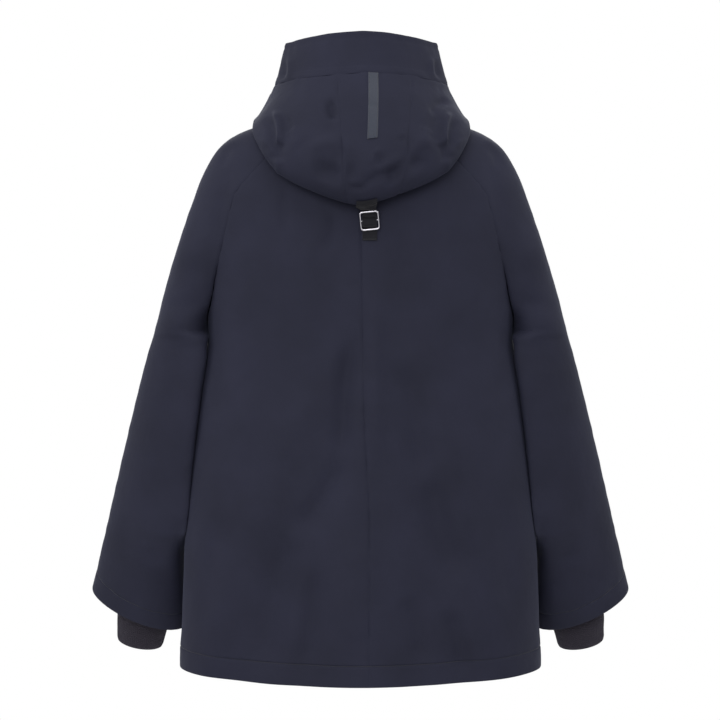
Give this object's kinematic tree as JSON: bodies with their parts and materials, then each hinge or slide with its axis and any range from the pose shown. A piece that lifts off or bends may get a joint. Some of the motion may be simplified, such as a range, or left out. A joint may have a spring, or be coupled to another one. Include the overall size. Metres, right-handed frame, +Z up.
{
  "type": "parka",
  "caption": "Long A-line parka with raglan sleeves, rib storm cuffs, front zip and a hood lying back, held by a strap with a slide ring at the centre back",
  "frame": {"origin": "The middle of the neck opening's fullest level, inside the garment where the wearer's neck would be, which is the mount wearer_neck; nothing else holds the garment up.", "axes": "+Z points up along the wearer's neck, +Y points to the garment's back, where the hood lies, -Y points to the front zip, and +X points to the wearer's left."},
  "size_m": [0.802, 0.3447, 0.909],
  "materials": {
    "shell_cloth": "smooth matte, faint sheen",
    "hood_tape": "flat woven tape, matte",
    "strap_webbing": "ribbed webbing, satin",
    "rib_knit": "ribbed knit, matte",
    "ring_metal": "satin nickel",
    "zip_tape": "fine woven tape, matte",
    "zip_metal": "dark gunmetal"
  },
  "bodies": {
    "garment": {"back_left": "shell_cloth", "back_right": "shell_cloth", "front_left": "shell_cloth", "front_right": "shell_cloth", "sleeve_back_left": "shell_cloth", "sleeve_back_right": "shell_cloth", "sleeve_front_left": "shell_cloth", "sleeve_front_right": "shell_cloth", "hood_brim": "shell_cloth", "hood_centre": "shell_cloth", "hood_side_left": "shell_cloth", "hood_side_right": "shell_cloth", "hood_tape": "hood_tape", "strap_upper": "strap_webbing", "strap_tab": "strap_webbing", "cuff_left": "rib_knit", "cuff_right": "rib_knit", "slide_ring": "ring_metal", "zip_tape_left": "zip_tape", "zip_tape_right": "zip_tape", "zip_chain": "zip_metal", "zip_slider": "zip_metal"},
    "pull": {"zip_pull": "zip_metal"}
  },
  "joints": [
    {"name": "pull_hinge", "type": "hinge", "parent": "garment", "child": "pull", "pos_m": [0, -0.1042, 0.03115], "axis": [-1, 0, 0], "range_deg": [0, 170]}
  ]
}
